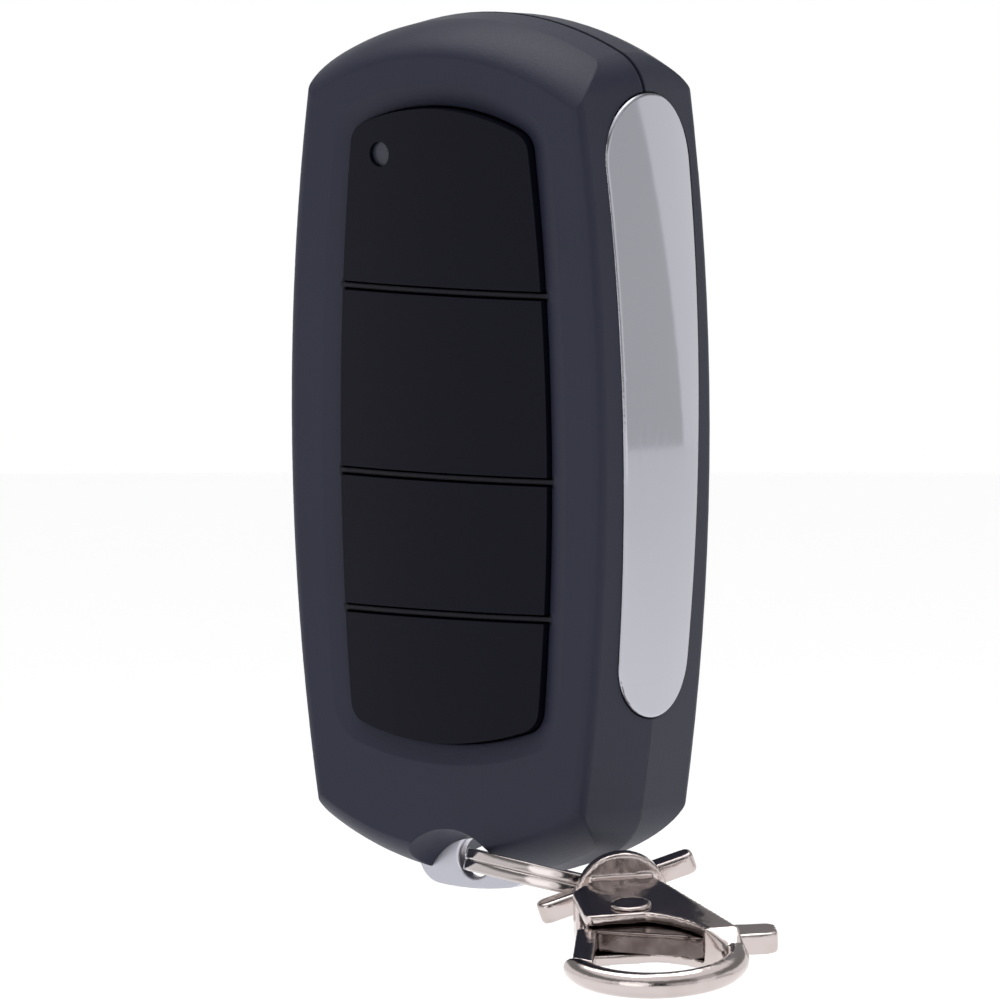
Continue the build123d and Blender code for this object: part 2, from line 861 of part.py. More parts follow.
with BuildPart() as split_ring:
    ring_section = Plane(origin=ring_centre, x_dir=ring_plane.x_dir, z_dir=-ring_plane.y_dir)
    with BuildSketch(ring_section) as coils:
        for side in (-1, 1):
            with Locations((ring_mean_radius, side * ring_coil_thickness / 2)):
                Rectangle(ring_wire_width, ring_coil_thickness)
        fillet(coils.vertices(), ring_edge_radius)
        for side in (-1, 1):
            edge_x = ring_mean_radius + side * ring_wire_width / 2
            with Locations((edge_x, 0)):
                Rectangle(2 * ring_groove, ring_groove, rotation=45, mode=Mode.SUBTRACT)
    revolve(axis=Axis(ring_centre, ring_plane.z_dir), revolution_arc=360)
save(split_ring, "split_ring")

# Swivel eye and post

eye_angle = radians(swivel_ring_angle)
grip_point = ring_plane.from_local_coords(
    (-ring_mean_radius * cos(eye_angle), -ring_mean_radius * sin(eye_angle), 0)
)
eye_direction = facing_plane(grip_point, swivel_heading, swivel_lift, swivel_roll)
bail_centre = grip_point + eye_direction.z_dir * bail_rest + eye_direction.y_dir * bail_set_back
bar_centre = bail_centre + eye_direction.z_dir * bail_drop - eye_direction.y_dir * bail_reach
eye_plane = facing_plane(bar_centre, swivel_heading, swivel_lift, swivel_roll)
bail_plane = Plane(origin=bail_centre, x_dir=eye_plane.y_dir, z_dir=eye_plane.x_dir)

with BuildPart() as swivel_eye:
    with BuildSketch(eye_plane):
        RectangleRounded(2 * bar_half_length, 2 * bar_half_width, bar_end_radius)
    extrude(amount=bar_half_height, both=True)
    fillet(swivel_eye.faces().filter_by(Axis(bar_centre, eye_plane.z_dir)).edges(), bar_edge_radius)
    with BuildSketch(bail_plane):
        Circle(bail_hole_radius + bail_wall)
    extrude(amount=bail_width / 2, both=True)
    with BuildSketch(bail_plane):
        Circle(bail_hole_radius)
    extrude(amount=bail_width, both=True, mode=Mode.SUBTRACT)
    root_plane = Plane(
        origin=eye_plane.from_local_coords((0, -bar_half_width, 0)),
        x_dir=eye_plane.x_dir,
        z_dir=eye_plane.y_dir,
    )
    with BuildSketch(root_plane):
        Circle(post_root_radius + rivet_fit)
    extrude(amount=post_root_depth, mode=Mode.SUBTRACT)
save(swivel_eye, "swivel_eye")

# The clasp's tail collar stands off the eye's bar by the post gap
clasp_origin_shift = bar_half_width + post_gap + collar_thickness + collar_face
clasp_axis_plane = facing_plane(bar_centre, swivel_heading, swivel_lift, clasp_roll)
clasp_centre = clasp_axis_plane.from_local_coords((0, -clasp_origin_shift, 0))
clasp_plane = facing_plane(clasp_centre, swivel_heading, swivel_lift, clasp_roll)


def across_clasp(distance):
    """The plane square to the clasp's axis, this far from the hook's centre to the tail."""
    return Plane(
        origin=clasp_plane.from_local_coords((0, distance, 0)),
        x_dir=clasp_plane.x_dir,
        z_dir=-clasp_plane.y_dir,
    )


bar_face = collar_face + collar_thickness + post_gap
with BuildPart() as swivel_post:
    with BuildSketch(across_clasp(bar_face + post_root_depth - post_clearance)):
        Circle(post_root_radius)
    extrude(amount=post_root_depth - post_clearance)
    with BuildSketch(across_clasp(bar_face)):
        Circle(post_radius)
    extrude(amount=post_gap + collar_thickness + post_clearance)
    with BuildSketch(across_clasp(collar_face - post_clearance)):
        Circle(post_head_radius)
    extrude(amount=post_head_height)
save(swivel_post, "swivel_post")

# Clasp body with its hook

tip_angle = radians(hook_tip_angle)
tip_x = hook_mean_radius * cos(tip_angle)
tip_y = hook_mean_radius * sin(tip_angle)
tip_cut_length = 4.0
pivot_plane = Plane(
    origin=clasp_plane.from_local_coords((pivot_x, pivot_y, 0)),
    x_dir=clasp_plane.x_dir,
    z_dir=clasp_plane.z_dir,
)


def tip_side(direction):
    """The space on one side of the slanting joint between the hook tip and the gate."""
    bevel = radians(tip_bevel)
    shift = direction * (tip_cut_length - gate_gap) / 2
    with BuildPart() as space:
        with BuildSketch(clasp_plane):
            with Locations((tip_x + shift * sin(bevel), tip_y + shift * cos(bevel))):
                Rectangle(2 * tip_cut_length, tip_cut_length, rotation=-tip_bevel)
        extrude(amount=2 * hook_wire_radius, both=True)
    return space.part


with BuildPart() as hook_wire:
    wire_section = Plane(
        origin=clasp_plane.from_local_coords((hook_mean_radius, 0, 0)),
        x_dir=clasp_plane.x_dir,
        z_dir=-clasp_plane.y_dir,
    )
    with BuildSketch(wire_section):
        Circle(hook_wire_radius)
    wire_arc = 360 - hook_tip_angle + 20
    revolve(axis=Axis(clasp_centre, -clasp_plane.z_dir), revolution_arc=wire_arc)
    add(tip_side(1), mode=Mode.SUBTRACT)


def body_outline(front):
    """Plan of one side plate in local coordinates, from its front edge back to the neck."""
    bend_y = (front + flank_front) / 2 + front_arc_rise
    with BuildSketch() as outline:
        with BuildLine():
            Polyline(
                (flank_inner_x, flank_front),
                (flank_outer_x, flank_front),
                (body_back_right, body_back),
                (-body_left, body_back),
                (-body_left, front),
                (front_bend_x, front),
            )
            ThreePointArc((front_bend_x, front), (front_arc_x, bend_y), (flank_inner_x, flank_front))
        make_face()
        fillet(outline.vertices().sort_by_distance((-body_left, front, 0))[0], body_corner_radius)
    return outline.sketch


with BuildPart() as hook_body:
    with BuildSketch(clasp_plane):
        add(body_outline(body_top_front))
    extrude(amount=body_half_height)
    with BuildSketch(clasp_plane):
        add(body_outline(body_bottom_front))
    extrude(amount=-body_half_height)
    with BuildSketch(across_clasp(body_back)):
        with Locations(((body_back_right - body_left) / 2, 0)):
            Rectangle(body_left + body_back_right, 2 * body_half_height)
    with BuildSketch(across_clasp(collar_face)):
        Rectangle(2 * neck_half_width, 2 * neck_half_height)
    loft()
    with BuildSketch(across_clasp(collar_face + collar_thickness)):
        Circle(collar_radius)
    extrude(amount=collar_thickness)
    with BuildSketch(across_clasp(flank_front)):
        with Locations(((flank_inner_x + flank_outer_x) / 2, 0)):
            Rectangle(flank_outer_x - flank_inner_x, 2 * body_half_height)
    with BuildSketch(across_clasp(0)):
        with Locations((hook_mean_radius, 0)):
            Circle(hook_wire_radius)
    loft()
    add(hook_wire.part)
    with BuildSketch(clasp_plane):
        with Locations((0, (slot_front + slot_back) / 2)):
            Rectangle(4 * hook_mean_radius, slot_back - slot_front)
        pocket_front = collar_face - pocket_length
        with Locations((0, (slot_front + pocket_front + channel_overlap) / 2)):
            Rectangle(2 * channel_half_width, pocket_front + channel_overlap - slot_front)
    extrude(amount=slot_half_height, both=True, mode=Mode.SUBTRACT)
    with BuildSketch(across_clasp(collar_face)):
        Circle(pocket_radius)
    extrude(amount=pocket_length, mode=Mode.SUBTRACT)
    with BuildSketch(across_clasp(collar_face + collar_thickness)):
        Circle(post_radius + post_clearance)
    extrude(amount=collar_thickness, mode=Mode.SUBTRACT)
    with BuildSketch(pivot_plane):
        Circle(pivot_radius + rivet_fit)
    extrude(amount=2 * body_half_height, both=True, mode=Mode.SUBTRACT)
save(hook_body, "hook_body")

with BuildPart() as trigger:
    half = gate_width / 2
    with BuildSketch(clasp_plane):
        with Locations((pivot_x, pivot_y)):
            Circle(hub_radius)
        with BuildLine():
            Polyline(
                (-lever_left, lever_front),
                (lever_bend_x, tab_front),
                (lever_bend_x, tab_back),
                (pivot_x + hub_radius, pivot_y),
                (pivot_x - hub_radius, pivot_y),
                (-lever_left, lever_back),
                (-lever_left, lever_front),
            )
        make_face()
        with Locations(((lever_bend_x + tab_end) / 2 - tab_corner_radius, (tab_front + tab_back) / 2)):
            width = tab_end - lever_bend_x + 2 * tab_corner_radius
            RectangleRounded(width, tab_back - tab_front, tab_corner_radius)
        with BuildLine():
            Polyline(
                (gate_root_x - half, gate_root_y),
                (tip_x - half, tip_y - gate_width),
                (tip_x + half, tip_y - gate_width),
                (gate_root_x + half, gate_root_y),
                (gate_root_x - half, gate_root_y),
            )
        make_face()
    extrude(amount=trigger_half_height, both=True)
    add(tip_side(-1), mode=Mode.SUBTRACT)
    with BuildSketch(pivot_plane):
        Circle(pivot_radius + pivot_clearance)
    extrude(amount=2 * trigger_half_height, both=True, mode=Mode.SUBTRACT)
    with BuildSketch(pivot_plane.offset(-trigger_half_height)):
        Circle(recess_radius)
    extrude(amount=spring_height + spring_clearance, mode=Mode.SUBTRACT)
save(trigger, "trigger")

with BuildPart() as trigger_rivet:
    with BuildSketch(pivot_plane):
        Circle(pivot_radius)
    extrude(amount=body_half_height, both=True)
    for direction in (1, -1):
        head_plane = Plane(
            origin=pivot_plane.from_local_coords((0, 0, direction * body_half_height)),
            x_dir=pivot_plane.x_dir,
            z_dir=pivot_plane.z_dir * direction,
        )
        with BuildSketch(head_plane):
            Circle(rivet_head_radius)
        extrude(amount=rivet_head_height, taper=30)
save(trigger_rivet, "trigger_rivet")

with BuildPart() as trigger_spring:
    with BuildSketch(pivot_plane.offset(-trigger_half_height + 0.02)):
        Circle(spring_outer_radius)
        Circle(spring_inner_radius, mode=Mode.SUBTRACT)
        leg_start = (spring_outer_radius + spring_inner_radius) / 2
        leg_end = slot_back - pivot_y - spring_clearance
        with Locations((0, (leg_start + leg_end) / 2)):
            Rectangle(spring_leg_width, leg_end - leg_start)
    extrude(amount=spring_height)
save(trigger_spring, "trigger_spring")
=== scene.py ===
import json
import math

import bmesh
import bpy
from bpy.props import FloatProperty, FloatVectorProperty, IntProperty, PointerProperty
from mathutils import Matrix, Vector


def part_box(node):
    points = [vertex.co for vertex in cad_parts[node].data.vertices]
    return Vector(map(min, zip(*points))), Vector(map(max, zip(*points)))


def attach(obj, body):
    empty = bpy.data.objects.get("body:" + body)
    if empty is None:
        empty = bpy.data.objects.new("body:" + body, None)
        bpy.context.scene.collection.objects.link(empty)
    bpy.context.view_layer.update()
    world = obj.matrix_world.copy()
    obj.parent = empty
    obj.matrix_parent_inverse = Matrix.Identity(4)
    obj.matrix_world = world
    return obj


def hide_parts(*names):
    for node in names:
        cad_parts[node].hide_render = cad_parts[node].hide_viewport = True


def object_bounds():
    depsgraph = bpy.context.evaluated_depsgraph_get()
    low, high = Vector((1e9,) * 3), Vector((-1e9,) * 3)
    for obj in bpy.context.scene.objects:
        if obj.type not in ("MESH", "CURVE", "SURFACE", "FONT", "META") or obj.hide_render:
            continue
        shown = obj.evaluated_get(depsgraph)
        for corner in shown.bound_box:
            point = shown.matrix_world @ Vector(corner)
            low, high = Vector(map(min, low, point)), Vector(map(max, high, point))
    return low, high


bl_info = {
    "name": "Gate remote finishes",
    "version": (1, 0, 0),
    "blender": (4, 5, 0),
    "location": "View3D > Sidebar > Gate Remote",
    "description": "Finishes, soft castings, wound split ring, stage and camera for a gate remote control",
    "category": "Object",
}

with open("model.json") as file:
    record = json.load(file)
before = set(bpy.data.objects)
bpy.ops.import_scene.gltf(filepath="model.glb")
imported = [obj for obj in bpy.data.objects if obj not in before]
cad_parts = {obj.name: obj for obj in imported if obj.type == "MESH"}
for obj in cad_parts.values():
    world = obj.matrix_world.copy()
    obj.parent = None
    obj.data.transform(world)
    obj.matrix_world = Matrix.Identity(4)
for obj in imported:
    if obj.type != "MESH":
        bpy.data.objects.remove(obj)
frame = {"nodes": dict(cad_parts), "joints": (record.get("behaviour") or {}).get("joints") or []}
nodes = frame["nodes"]
joints = {joint["name"]: joint for joint in frame["joints"]}
cad_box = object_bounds()

MM = 0.001
KEYS = (1, 2, 3, 4)

# The camera stands 36 degrees to the right of the keys and 5 degrees above them
TOWARD_LENS = (0.5856, -0.8059, 0.0872)
FRAME_RIGHT = (0.809, 0.588, 0.0)
FRAME_PIXELS = 1000
PIXELS_PER_MM = 11.55


def linear(red, green, blue):
    """A colour picked on a screen, in 0 to 255, as scene-linear values."""
    values = []
    for channel in (red, green, blue):
        part = channel / 255
        values.append(part / 12.92 if part <= 0.04045 else ((part + 0.055) / 1.055) ** 2.4)
    return values[0], values[1], values[2], 1.0


# Shader sockets as Python expressions


class Wire:
    """A shader socket that can be added, subtracted and multiplied."""

    def __init__(self, finish, socket):
        self.finish = finish
        self.socket = socket

    def math(self, operation, *others):
        return self.finish.node("ShaderNodeMath", {"operation": operation}, (self, *others))

    def __add__(self, other):
        return self.math("ADD", other)

    __radd__ = __add__

    def __sub__(self, other):
        return self.math("SUBTRACT", other)

    def __rsub__(self, other):
        return self.math("MULTIPLY", -1.0) + other

    def __mul__(self, other):
        return self.math("MULTIPLY", other)

    __rmul__ = __mul__

    def absolute(self):
        return self.math("ABSOLUTE")

    def step(self, low, high):
        """0 below low, 1 above high, smooth between."""
        settings = {"interpolation_type": "SMOOTHSTEP"}
        inputs = {"Value": self, "From Min": low, "From Max": high}
        return self.finish.node("ShaderNodeMapRange", settings, inputs)


class Finish:
    """A material, or the sky where a store of worlds is given, made of wires."""

    def __init__(self, name, store=None):
        self.material = (bpy.data.materials if store is None else store).new(name)
        self.material.use_nodes = True
        self.tree = self.material.node_tree
        self.tree.nodes.clear()
        source = "Object" if store is None else "Generated"
        self.place = self.node("ShaderNodeTexCoord", {}, {}, output=source)

    def node(self, kind, settings, inputs, output=0):
        """Adds one node: its settings first, then the values or links of its sockets."""
        made = self.tree.nodes.new(kind)
        for key, value in settings.items():
            setattr(made, key, value)
        pairs = inputs.items() if isinstance(inputs, dict) else enumerate(inputs)
        for key, value in pairs:
            socket = made.inputs[key]
            if isinstance(value, Wire):
                self.tree.links.new(value.socket, socket)
            else:
                socket.default_value = value
        return Wire(self, made.outputs[output]) if made.outputs else None

    def noise(self, scale, detail=2.0, roughness=0.5, stretch=(1.0, 1.0, 1.0)):
        """Noise on the object's own coordinates; scale is in spots per millimetre."""
        place = self.node("ShaderNodeMapping", {}, {"Vector": self.place, "Scale": stretch})
        inputs = {"Vector": place, "Scale": scale / MM, "Detail": detail, "Roughness": roughness}
        return self.node("ShaderNodeTexNoise", {}, inputs)

    def mix(self, factor, first, second, blend="MIX"):
        """Blends two colours, each a wire or a plain colour."""
        settings = {"data_type": "RGBA", "blend_type": blend}
        inputs = {"Factor": factor, 6: first, 7: second}
        return self.node("ShaderNodeMix", settings, inputs, output=2)

    def along(self, direction, start=(0.0, 0.0, 0.0)):
        """How far a point lies along a direction from a start."""
        settings = {"operation": "DOT_PRODUCT"}
        inputs = {0: self.place, 1: tuple(direction)}
        offset = -sum(a * b for a, b in zip(direction, start))
        return self.node("ShaderNodeVectorMath", settings, inputs, output="Value") + offset

    def rounded(self, radius):
        """The surface normal with edges rounded by this many millimetres."""
        return self.node("ShaderNodeBevel", {"samples": 4}, {"Radius": radius * MM})

    def bump(self, height, depth, base):
        """The base normal raised by a height pattern, whose full depth is in millimetres."""
        inputs = {"Height": height, "Distance": depth * MM, "Strength": 1.0, "Normal": base}
        return self.node("ShaderNodeBump", {}, inputs)

    def surface(self, **sockets):
        """The finished surface from the main shader's sockets, then its output."""
        names = {key.replace("_", " ").title().replace("Ior", "IOR"): value for key, value in sockets.items()}
        shader = self.node("ShaderNodeBsdfPrincipled", {}, names)
        self.node("ShaderNodeOutputMaterial", {}, {"Surface": shader})
        return self.material


# Moulded plastic: how far the grain and the mottle change its tone and gloss, and the bars between the keys,
# which take painted shade
DARKEST_TONE = 0.93
GRAIN_TONE = 0.14
GRAIN_GLOSS = 0.16
MOTTLE_GLOSS = 0.08
BAR_HALF_HEIGHT = 0.5 * MM
BAR_END_GAP = 0.3 * MM
BAR_BLUR = 0.1 * MM
BAR_DEPTH = (-3 * MM, -2.5 * MM)


def moulded_plastic(name, colour, roughness, grain, depth, radius=0.12, level=0.3, shade=0.12, window=None):
    """Fine spark-grained moulding with a faint mottle and rounded edges.

    grain is in spots per millimetre, depth and radius are in millimetres, level is the
    shine, and shade is the mottle's contrast. Where a window colour is given, the thin
    bars between the keys are painted in it: painted shade in the grooves between the keys.
    """
    finish = Finish(name)
    texture = finish.noise(grain, detail=3.0, roughness=0.6)
    mottle = finish.noise(0.09, detail=3.0)
    rounded = finish.rounded(radius)
    tone = DARKEST_TONE - shade + mottle * (2 * shade) + texture * GRAIN_TONE
    # Painted shade: the bars in the grooves between the keys take the dark window colour
    if window is not None:
        for middle, half_width in key_bars():
            colour = finish.mix(groove_shade_mask(finish, middle, half_width), colour, window)
    grey = finish.node("ShaderNodeCombineColor", {}, (tone, tone, tone))
    base = finish.mix(1.0, colour, grey, "MULTIPLY")
    rough = roughness + (texture - 0.5) * GRAIN_GLOSS + (mottle - 0.5) * MOTTLE_GLOSS
    normal = finish.bump(texture, depth, rounded)
    return finish.surface(base_color=base, roughness=rough, specular_ior_level=level, normal=normal)


def key_bars():
    """Yields the middle and the half width of each thin bar between two keys."""
    for above, below in zip(KEYS, KEYS[1:]):
        upper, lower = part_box(f"key_{above}"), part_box(f"key_{below}")
        height = ((upper[0] + lower[1]) / 2).z
        yield (0, upper[0].y, height), min(upper[1].x, lower[1].x)


def groove_shade_mask(finish, middle, half_width):
    """1 on one thin bar between two keys, where shade is painted, and 0 elsewhere."""
    upward = finish.along((0, 0, 1), middle).absolute()
    sideways = finish.along((1, 0, 0)).absolute()
    forward = finish.along((0, -1, 0), middle)
    end = half_width - BAR_END_GAP
    bar = 1.0 - upward.step(BAR_HALF_HEIGHT, BAR_HALF_HEIGHT + BAR_BLUR)
    bar = bar * (1.0 - sideways.step(end - BAR_BLUR, end))
    return bar * forward.step(*BAR_DEPTH)


# Plated metal: where it darkens, and how far the scratches and the drift change its gloss
TARNISH = (0.30, 0.22, 0.19, 1)
TARNISH_EDGE = (0.45, 0.75)
SCRATCH_GLOSS = 0.12
DRIFT_GLOSS = 0.08
WAVE_SHARE = 0.85

# Painted shade in the clasp's slot: its colour and cover, where it starts on the trigger's cross bar, and its
# two ends there
PAINTED_SHADE_COLOUR = (0.07, 0.05, 0.045, 1)
SHADE_COVER = 0.9
SHADE_LEAST = 0.75
SHADE_PATCHES = 0.45
SHADE_START = (1.6 * MM, 2.2 * MM)
SHADE_LEFT = (-3.9 * MM, -3.5 * MM)
SHADE_RIGHT = (5.0 * MM, 5.6 * MM)


def plated_metal(name, colour, roughness, polish=0.5, depth=0.004, radius=0.15, tarnish=0.0, painted_shade=None):
    """Plated metal: slow colour drift, soft polishing waves, fine scratches and rounded edges.

    polish is in waves per millimetre, depth and radius are in millimetres, tarnish says
    how far the plating darkens in places, and the shade mask marks where shade is painted.
    """
    finish = Finish(name)
    drift = finish.noise(0.12, detail=3.0, roughness=0.55)
    waves = finish.noise(polish)
    scratches = finish.noise(3.0, detail=4.0, roughness=0.7, stretch=(1.0, 0.12, 1.0))
    rounded = finish.rounded(radius)
    if tarnish:
        colour = finish.mix(drift.step(*TARNISH_EDGE) * tarnish, colour, TARNISH)
    if painted_shade is not None:
        # Painted shade: the mask darkens the plating's colour
        colour = finish.mix(painted_shade(finish) * SHADE_COVER, colour, PAINTED_SHADE_COLOUR)
    rough = roughness + (scratches - 0.5) * SCRATCH_GLOSS + (drift - 0.5) * DRIFT_GLOSS
    height = waves * WAVE_SHARE + scratches * (1 - WAVE_SHARE)
    normal = finish.bump(height, depth, rounded)
    return finish.surface(base_color=colour, metallic=1.0, roughness=rough, normal=normal)


def trigger_painted_shade(finish):
    """Painted shade on the trigger's cross bar, inside the dark slot of the clasp."""
    spin, pull = joints["clasp_spin"], joints["trigger_pull"]
    tail, up, pivot = Vector(spin["axis"]), Vector(pull["axis"]), Vector(pull["pos_m"])
    forward = finish.along(-tail, pivot)
    sideways = finish.along(tail.cross(up), pivot)
    bar = forward.step(*SHADE_START) * sideways.step(*SHADE_LEFT)
    # Painted shade: the cross bar's front goes dark in patches
    return bar * (1.0 - sideways.step(*SHADE_RIGHT)) * (SHADE_LEAST + finish.noise(0.6) * SHADE_PATCHES)


# Meshes and objects


def dress(material, *names):
    """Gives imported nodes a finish."""
    for name in names:
        mesh = nodes[name].data
        mesh.materials.clear()
        mesh.materials.append(material)


def finished_mesh(work, name):
    """A mesh with the shape of a bmesh, which is freed."""
    mesh = bpy.data.meshes.new(name)
    work.to_mesh(mesh)
    work.free()
    return mesh


def put(context, name, data):
    """Puts a mesh, light or camera in the scene as a new object."""
    item = bpy.data.objects.new(name, data)
    context.scene.collection.objects.link(item)
    return item


# Settings shown in the sidebar


class CaseSettings(bpy.types.PropertyGroup):
    """Finish of the case, keys and side strips."""

    shell_colour: FloatVectorProperty(name="Shell colour", description="Colour of the case", subtype="COLOR",
                                      size=4, min=0, max=1, default=linear(36, 38, 54))
    shell_roughness: FloatProperty(name="Shell roughness", description="Gloss of the case", min=0.05, max=1,
                                   default=0.5, subtype="FACTOR")
    key_colour: FloatVectorProperty(name="Key colour", description="Colour of the keys", subtype="COLOR",
                                    size=4, min=0, max=1, default=linear(9, 10, 22))
    key_roughness: FloatProperty(name="Key roughness", description="Gloss of the keys", min=0.05, max=1,
                                 default=0.5, subtype="FACTOR")
    strip_colour: FloatVectorProperty(name="Strip colour", description="Colour of the plated strips",
                                      subtype="COLOR", size=4, min=0, max=1, default=(0.43, 0.43, 0.48, 1))
    strip_roughness: FloatProperty(name="Strip roughness", description="Gloss of the plated strips", min=0.02,
                                   max=1, default=0.06, subtype="FACTOR")


class MetalSettings(bpy.types.PropertyGroup):
    """Finish and winding of the metal pieces."""

    clasp_colour: FloatVectorProperty(name="Clasp colour", description="Colour of the plated clasp",
                                      subtype="COLOR", size=4, min=0, max=1, default=(0.57, 0.505, 0.49, 1))
    clasp_roughness: FloatProperty(name="Clasp roughness", description="Gloss of the clasp", min=0.02, max=1,
                                   default=0.12, subtype="FACTOR")
    casting_grain: FloatProperty(name="Casting grain", description="Size of the casting's finest detail",
                                 unit="LENGTH", min=0.00008, max=0.0005, default=0.14 * MM)
    casting_polish: IntProperty(name="Casting polish", description="How often the casting is polished", min=0,
                                max=40, default=14)
    ring_colour: FloatVectorProperty(name="Ring colour", description="Colour of the split ring",
                                     subtype="COLOR", size=4, min=0, max=1, default=(0.50, 0.455, 0.445, 1))
    ring_radius: FloatProperty(name="Ring radius", description="Mean radius of the split ring", unit="LENGTH",
                               min=0.004, max=0.02, default=8.2 * MM)
    wire_width: FloatProperty(name="Wire width", description="Width of the ring's flat wire", unit="LENGTH",
                              min=0.0005, max=0.003, default=1.3 * MM)
    wire_thickness: FloatProperty(name="Wire thickness", description="Thickness of one coil", unit="LENGTH",
                                  min=0.0004, max=0.002, default=0.98 * MM)
    ring_steps: IntProperty(name="Ring steps", description="Straight pieces in one turn", min=24, max=360,
                            default=120)


class StageSettings(bpy.types.PropertyGroup):
    """Camera, light table and lights."""

    distance: FloatProperty(name="Camera distance", description="Distance from camera to remote",
                            unit="LENGTH", min=0.2, max=8, default=4.0)
    frame_width: FloatProperty(name="Frame width", description="Width of the picture at the remote",
                               unit="LENGTH", min=0.02, max=0.5, default=FRAME_PIXELS / PIXELS_PER_MM * MM)
    table_radius: FloatProperty(name="Table radius", description="Radius of the round table top",
                                unit="LENGTH", min=0.2, max=5, default=1.0)
    table_drop: FloatProperty(name="Table drop", description="Gap under the remote, for the hanging clasp",
                              unit="LENGTH", min=0, max=0.5, default=46 * MM)
    floor_colour: FloatVectorProperty(name="Table colour", description="Colour of the table top",
                                      subtype="COLOR", size=4, min=0, max=1, default=(0.86, 0.86, 0.86, 1))
    table_glow: FloatProperty(name="Table glow", description="How much the light table shines", min=0, max=2,
                              default=0.36)
    sky_strength: FloatProperty(name="Sky strength", description="Strength of the soft light all round",
                                min=0, max=5, default=1.0)
    key_light: FloatProperty(name="Overhead light", description="Power of the overhead panel", unit="POWER",
                             min=0, max=50, default=1.2)
    front_light: FloatProperty(name="Front window", description="Strength of the window left of the camera",
                               min=0, max=10, default=1.2)
    side_light: FloatProperty(name="Side light", description="Power of the panel at the right", unit="POWER",
                              min=0, max=50, default=0.12)


# Operators


class PaintCase(bpy.types.Operator):
    """Give the two shells of the case their grained plastic"""

    bl_idname = "remote.paint_case"
    bl_label = "Paint Case"

    def execute(self, context):
        look = context.scene.remote_case
        # The key colour goes on the bars between the keys as painted shade
        shell = moulded_plastic("case plastic", look.shell_colour, look.shell_roughness, grain=4.2,
                                depth=0.022, radius=0.25, level=0.24, window=look.key_colour)
        dress(shell, "front_shell", "rear_shell")
        return {"FINISHED"}


class PaintKeys(bpy.types.Operator):
    """Give the keys their matt plastic and the status light its smoked window"""

    bl_idname = "remote.paint_keys"
    bl_label = "Paint Keys"

    def execute(self, context):
        look = context.scene.remote_case
        keys = moulded_plastic("key plastic", look.key_colour, look.key_roughness, grain=5.0, depth=0.010,
                               radius=0.1, level=0.11, shade=0.08)
        dress(keys, *(f"key_{number}" for number in KEYS))
        window = moulded_plastic("lamp window plastic", linear(48, 51, 64), 0.3, grain=3.0, depth=0.002,
                                 radius=0.1, level=0.5)
        dress(window, "light_window")
        return {"FINISHED"}


class PaintStrips(bpy.types.Operator):
    """Give the side strips their satin plating, brushed along the case"""

    bl_idname = "remote.paint_strips"
    bl_label = "Paint Strips"

    drift_tone = (0.47, 0.47, 0.52, 1)
    drift_gloss = 0.03
    brush_gloss = 0.05
    brush_share = 0.1

    def execute(self, context):
        look = context.scene.remote_case
        finish = Finish("strip plating")
        drift = finish.noise(0.05)
        brush = finish.noise(2.5, detail=3.0, roughness=0.6, stretch=(1.0, 1.0, 0.05))
        rough = look.strip_roughness + (brush - 0.5) * self.brush_gloss + (drift - 0.5) * self.drift_gloss
        height = brush * self.brush_share + drift * (1 - self.brush_share)
        normal = finish.bump(height, 0.003, finish.rounded(0.2))
        colour = finish.mix(drift, look.strip_colour, self.drift_tone)
        plating = finish.surface(base_color=colour, metallic=1.0, roughness=rough, normal=normal)
        dress(plating, "strip_left", "strip_right")
        return {"FINISHED"}


class PaintMetal(bpy.types.Operator):
    """Give the lug plate, the case screws and the trigger's spring their metal"""

    bl_idname = "remote.paint_metal"
    bl_label = "Paint Metal"

    def execute(self, context):
        lug = plated_metal("lug plating", (0.50, 0.50, 0.56, 1), 0.3, polish=0.4, depth=0.003)
        dress(lug, "lug_plate", "case_screws")
        spring = plated_metal("spring wire", (0.5, 0.5, 0.48, 1), 0.3, depth=0.003, radius=0.05)
        dress(spring, "trigger_spring")
        return {"FINISHED"}


class CastClasp(bpy.types.Operator):
    """Give the clasp and its swivel the soft edges of polished castings"""

    bl_idname = "remote.cast_clasp"
    bl_label = "Cast Clasp"

    def execute(self, context):
        look = context.scene.remote_metal
        cast = {"roughness": look.clasp_roughness, "polish": 0.42, "radius": 0.1, "tarnish": 0.35}
        plating = plated_metal("clasp plating", look.clasp_colour, depth=0.08, **cast)
        # The trigger's plating carries painted shade on its cross bar
        darkened = plated_metal("trigger plating", look.clasp_colour, depth=0.11, painted_shade=trigger_painted_shade, **cast)
        pieces = (("hook_body", "clasp"), ("trigger", "trigger"), ("trigger_rivet", "clasp"),
                  ("swivel_eye", "swivel"), ("swivel_post", "swivel"))
        for name, body in pieces:
            work = bmesh.new()
            work.from_mesh(nodes[name].data)
            bmesh.ops.remove_doubles(work, verts=work.verts, dist=1e-6)
            bmesh.ops.recalc_face_normals(work, faces=work.faces)
            casting = put(context, f"cast_{name}", finished_mesh(work, f"cast_{name}"))
            casting.data.materials.append(darkened if name == "trigger" else plating)
            skin = casting.modifiers.new("skin", "REMESH")
            skin.mode = "VOXEL"
            skin.voxel_size = look.casting_grain
            skin.use_smooth_shade = True
            polish = casting.modifiers.new("polish", "SMOOTH")
            polish.factor = 0.5
            polish.iterations = look.casting_polish
            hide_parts(name)
            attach(casting, body)
        return {"FINISHED"}


